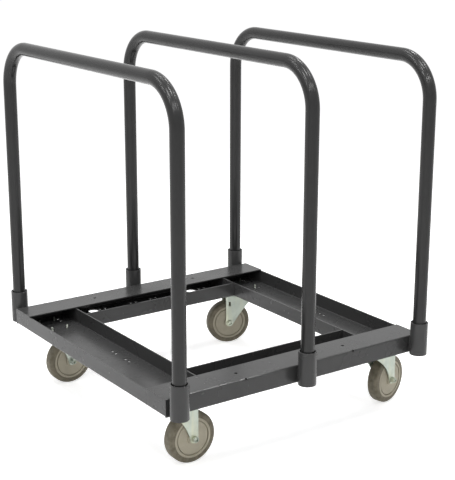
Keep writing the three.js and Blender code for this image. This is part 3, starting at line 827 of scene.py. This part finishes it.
class CART_OT_forks(bpy.types.Operator):
    """Press the four caster forks, with a plate on the rigid ones and a race on the swivel ones"""
    bl_idname = "cart.forks"
    bl_label = "Forks"

    def execute(self, context):
        sizes = context.scene.cart.forks
        for corner in CORNERS:
            node = f"{corner}_fork"
            middle, axle, trailing = wheel_place(corner)
            swivel_axis = middle - sizes.trail * trailing
            swivel_axis[2] = 0
            top = corners_of(node)[1][2]
            if corner in SWIVELS:
                top -= sizes.race_height
                extra = self.race(sizes, swivel_axis, top)
            else:
                extra = self.plate(sizes, swivel_axis, top)
                top -= sizes.plate_thickness - sizes.sheet / 2
            sheet, quads = fork_sheet(sizes, middle[2], top, corner in SWIVELS)
            placed = swivel_axis + sheet @ np.stack([trailing, axle, UP])
            mesh = self.thickened(context, node, (placed, quads), extra, sizes)
            place_piece(f"{corner}_fork_pressing", mesh, finish_of(zinc_plated_steel, context),
                        [node])
        return {"FINISHED"}

    def race(self, sizes, centre, crown):
        """The lower race: a ring whose skirt flares from the crown out to its rim."""
        rim = sizes.inside + sizes.sheet + sizes.rim
        foot = crown - sizes.sheet / 2
        top = crown + sizes.race_height
        bore = sizes.race_bore / 2
        corners = [(bore, foot), (sizes.inside + sizes.race_foot, foot), (rim, crown + sizes.race_height / 2),
                   (rim, top), (bore, top)]
        return lathe(eased(corners, 2 * sizes.easing), centre, UP, PIPE_SIDES)

    def plate(self, sizes, centre, top):
        """The top plate of a rigid caster."""
        low = top - sizes.plate_thickness
        return rounded_plate(centre, sizes.plate_width / 2, sizes.plate_length / 2, low, top,
                             sizes.plate_corner, sizes.easing)

    def thickened(self, context, name, sheet, extra, sizes):
        """The sheet with its thickness and eased edges, joined with the plate or race welded to it."""
        bare = bpy.data.objects.new(name, make_mesh(name, [sheet]))
        context.scene.collection.objects.link(bare)
        wall = bare.modifiers.new("wall", "SOLIDIFY")
        wall.thickness = sizes.sheet
        wall.offset = 0
        edge = bare.modifiers.new("eased edge", "BEVEL")
        edge.width = sizes.easing
        edge.segments = 2
        edge.limit_method = "ANGLE"
        edge.angle_limit = STAMPED
        walled = bpy.data.meshes.new_from_object(bare.evaluated_get(context.evaluated_depsgraph_get()))
        joined = bmesh.new()
        joined.from_mesh(walled)
        joined.from_mesh(make_mesh(name, [outwards(extra)]))
        joined.to_mesh(walled)
        joined.free()
        bpy.data.objects.remove(bare)
        finish_mesh(walled)
        return walled


class CART_OT_caster_bolts(bpy.types.Operator):
    """Cut the caster bolts, with a head under the plate and a thread up through the channel floor"""
    bl_idname = "cart.caster_bolts"
    bl_label = "Caster bolts"

    def execute(self, context):
        sizes = context.scene.cart.fasteners
        sides = BOLT_SIDES
        across = sizes.bolt * sizes.across
        for corner in CORNERS:
            for number in range(1, BOLTS_PER_CASTER + 1):
                node = f"{corner}_caster_bolt_{number}"
                low, high = corners_of(node)
                head_high = low[2] + sizes.bolt_head
                stages = [
                    hex_stage(low[2], head_high, across, sides, high_end_free=False),
                    thread_stage(head_high, high[2], sizes.bolt, sizes.bolt_pitch, sides),
                ]
                add_piece(f"{node}_cut", [stacked(stages, upright_axis(low, high), UP, sides)],
                          finish_of(zinc_plated_fastener, context), [node])
        return {"FINISHED"}


class CART_OT_axles(bpy.types.Operator):
    """Cut the axle bolts and their nuts"""
    bl_idname = "cart.axles"
    bl_label = "Axle bolts and nuts"

    def execute(self, context):
        sizes = context.scene.cart.fasteners
        forks = context.scene.cart.forks
        steel = finish_of(zinc_plated_steel, context)
        sides = AXLE_SIDES
        across = sizes.axle * sizes.across
        seat = forks.inside + forks.sheet + sizes.seat_gap
        head_end = seat + sizes.axle_head
        nut_end = seat + sizes.axle_nut
        tail_end = nut_end + sizes.axle_thread
        for corner in CORNERS:
            middle, axle, _ = wheel_place(corner)
            head = hex_stage(seat, head_end, across, sides)
            head_hollow = hollow_stage(head_end, head_end - sizes.hollow_depth, sizes.head_hollow, sides)
            end_hollow = hollow_stage(sizes.hollow_depth - tail_end, -tail_end, sizes.end_hollow, sides)
            shank = (np.array([-seat, seat]), np.full((2, sides), sizes.axle / 2))
            tail = thread_stage(seat, tail_end, sizes.axle, sizes.axle_pitch, sides)
            tail = (-tail[0][::-1], tail[1][::-1])
            stages = [end_hollow, tail, shank, head, head_hollow]
            add_piece(f"{corner}_axle_bolt_cut", [stacked(stages, middle, axle, sides)], steel,
                      [f"{corner}_axle_bolt"])
            height, radius = hex_stage(-nut_end, -seat, across, sides)
            bore = np.interp(height, (-nut_end, -seat), (sizes.nut_mouth, sizes.axle / 2 + sizes.seat_gap))
            bore = np.broadcast_to(bore[:, None], radius.shape)
            ring = turned(np.concatenate([radius, bore[::-1]]), np.concatenate([height, height[::-1]]),
                          middle, axle, sides)
            add_piece(f"{corner}_axle_nut_cut", [surface(ring, close_rows=True)], steel,
                      [f"{corner}_axle_nut"])
        return {"FINISHED"}


class CART_OT_stage(bpy.types.Operator):
    """Set up the floor, the even light, a softbox, rows of ceiling lights and the camera"""
    bl_idname = "cart.stage"
    bl_label = "Studio"

    def execute(self, context):
        sizes = context.scene.cart.stage
        self.floor(context, sizes)
        self.sky(context, sizes)
        softbox = self.light(context, SOFTBOX_PLACE, sizes.light_height, (sizes.softbox_size,) * 2,
                             sizes.softbox_power)
        # The softbox only fills the shade, so that the bent pipes mirror the ceiling lights alone
        softbox.visible_glossy = False
        tube = (sizes.tube_width, sizes.tube_length)
        for place in itertools.product(LIGHT_COLUMNS, LIGHT_ROWS):
            self.light(context, place, sizes.light_height, tube, sizes.tube_power)
            # Satin gloss dims the small mirror image of a light, so each one is brighter in reflections alone
            glint = self.light(context, place, sizes.light_height, tube, sizes.glint_power)
            glint.visible_diffuse = False
        self.camera(context, sizes)
        context.scene.view_settings.view_transform = "Standard"
        return {"FINISHED"}

    def floor(self, context, sizes):
        """A square floor under the wheels."""
        reach = np.linspace(-sizes.floor_size / 2, sizes.floor_size / 2, 3)
        x, y = np.meshgrid(reach, reach)
        vertices, quads = surface(np.stack([x, y, np.zeros_like(x)], axis=-1), close_columns=False)
        mesh = bpy.data.meshes.new("studio_floor")
        mesh.from_pydata(vertices.tolist(), [], quads[:, ::-1].tolist())
        mesh.materials.append(finish_of(studio_floor, context))
        floor = bpy.data.objects.new("studio_floor", mesh)
        context.scene.collection.objects.link(floor)

    def sky(self, context, sizes):
        """Even light all round, which looks plain white where it is seen or mirrored."""
        world = bpy.data.worlds.new("studio")
        world.use_nodes = True
        tree = world.node_tree
        tree.nodes.clear()
        light = add_node(tree, "Background", {"Color": WHITE, "Strength": sizes.sky})
        white = add_node(tree, "Background", {"Color": WHITE, "Strength": 1.0})
        both = add_node(tree, "MixShader", {0: seen_directly(tree), 1: light.outputs[0], 2: white.outputs[0]})
        add_node(tree, "OutputWorld", {"Surface": both.outputs[0]})
        context.scene.world = world

    def light(self, context, place, height, size, watts):
        """A rectangular area light that faces straight down."""
        lamp = bpy.data.lights.new("ceiling_light", "AREA")
        lamp.shape = "RECTANGLE"
        lamp.size, lamp.size_y = size
        lamp.energy = watts
        fitting = bpy.data.objects.new("ceiling_light", lamp)
        fitting.location = (*place, height)
        context.scene.collection.objects.link(fitting)
        return fitting

    def camera(self, context, sizes):
        """A camera turned by yaw, pitch and roll, set back from the point that it looks at."""
        lens = bpy.data.cameras.new("photo_camera")
        lens.lens = sizes.lens
        lens.sensor_width = FRAME_WIDTH
        lens.sensor_fit = "AUTO"
        lens.dof.use_dof = False
        lens.clip_end = SIGHT
        level = math.cos(sizes.pitch)
        view = Vector((math.sin(sizes.yaw) * level, math.cos(sizes.yaw) * level, -math.sin(sizes.pitch)))
        camera = bpy.data.objects.new("photo_camera", lens)
        camera.location = Vector(sizes.aim) - view * sizes.distance
        camera.rotation_mode = "QUATERNION"
        camera.rotation_quaternion = view.to_track_quat("-Z", "Y") @ Quaternion((0, 0, 1), sizes.roll)
        context.scene.collection.objects.link(camera)
        context.scene.camera = camera


OPERATORS = (CART_OT_frame_finish, CART_OT_dividers, CART_OT_sockets, CART_OT_wheels, CART_OT_forks,
             CART_OT_caster_bolts, CART_OT_axles, CART_OT_stage)


class CART_PT_sidebar(bpy.types.Panel):
    """Lists the pieces of the cart in the order in which they are made"""
    bl_idname = "CART_PT_sidebar"
    bl_label = "Sheet goods cart"
    bl_space_type = "VIEW_3D"
    bl_region_type = "UI"
    bl_category = "Cart"

    def draw(self, context):
        for operator in OPERATORS:
            self.layout.operator(operator.bl_idname)
        for group in CART_PG_settings.__annotations__:
            settings = getattr(context.scene.cart, group)
            box = self.layout.box()
            box.label(text=group.capitalize())
            for name in settings.__annotations__:
                box.prop(settings, name)


CLASSES = (CART_PG_dividers, CART_PG_wheels, CART_PG_forks, CART_PG_fasteners, CART_PG_colours, CART_PG_stage,
           CART_PG_settings, *OPERATORS, CART_PT_sidebar)


def register():
    for cls in CLASSES:
        bpy.utils.register_class(cls)
    bpy.types.Scene.cart = PointerProperty(type=CART_PG_settings)


def unregister():
    del bpy.types.Scene.cart
    for cls in reversed(CLASSES):
        bpy.utils.unregister_class(cls)


def main():
    register()
    bpy.ops.cart.frame_finish()
    bpy.ops.cart.dividers()
    bpy.ops.cart.sockets()
    bpy.ops.cart.wheels()
    bpy.ops.cart.forks()
    bpy.ops.cart.caster_bolts()
    bpy.ops.cart.axles()
    bpy.ops.cart.stage()


if __name__ == "__main__":
    main()
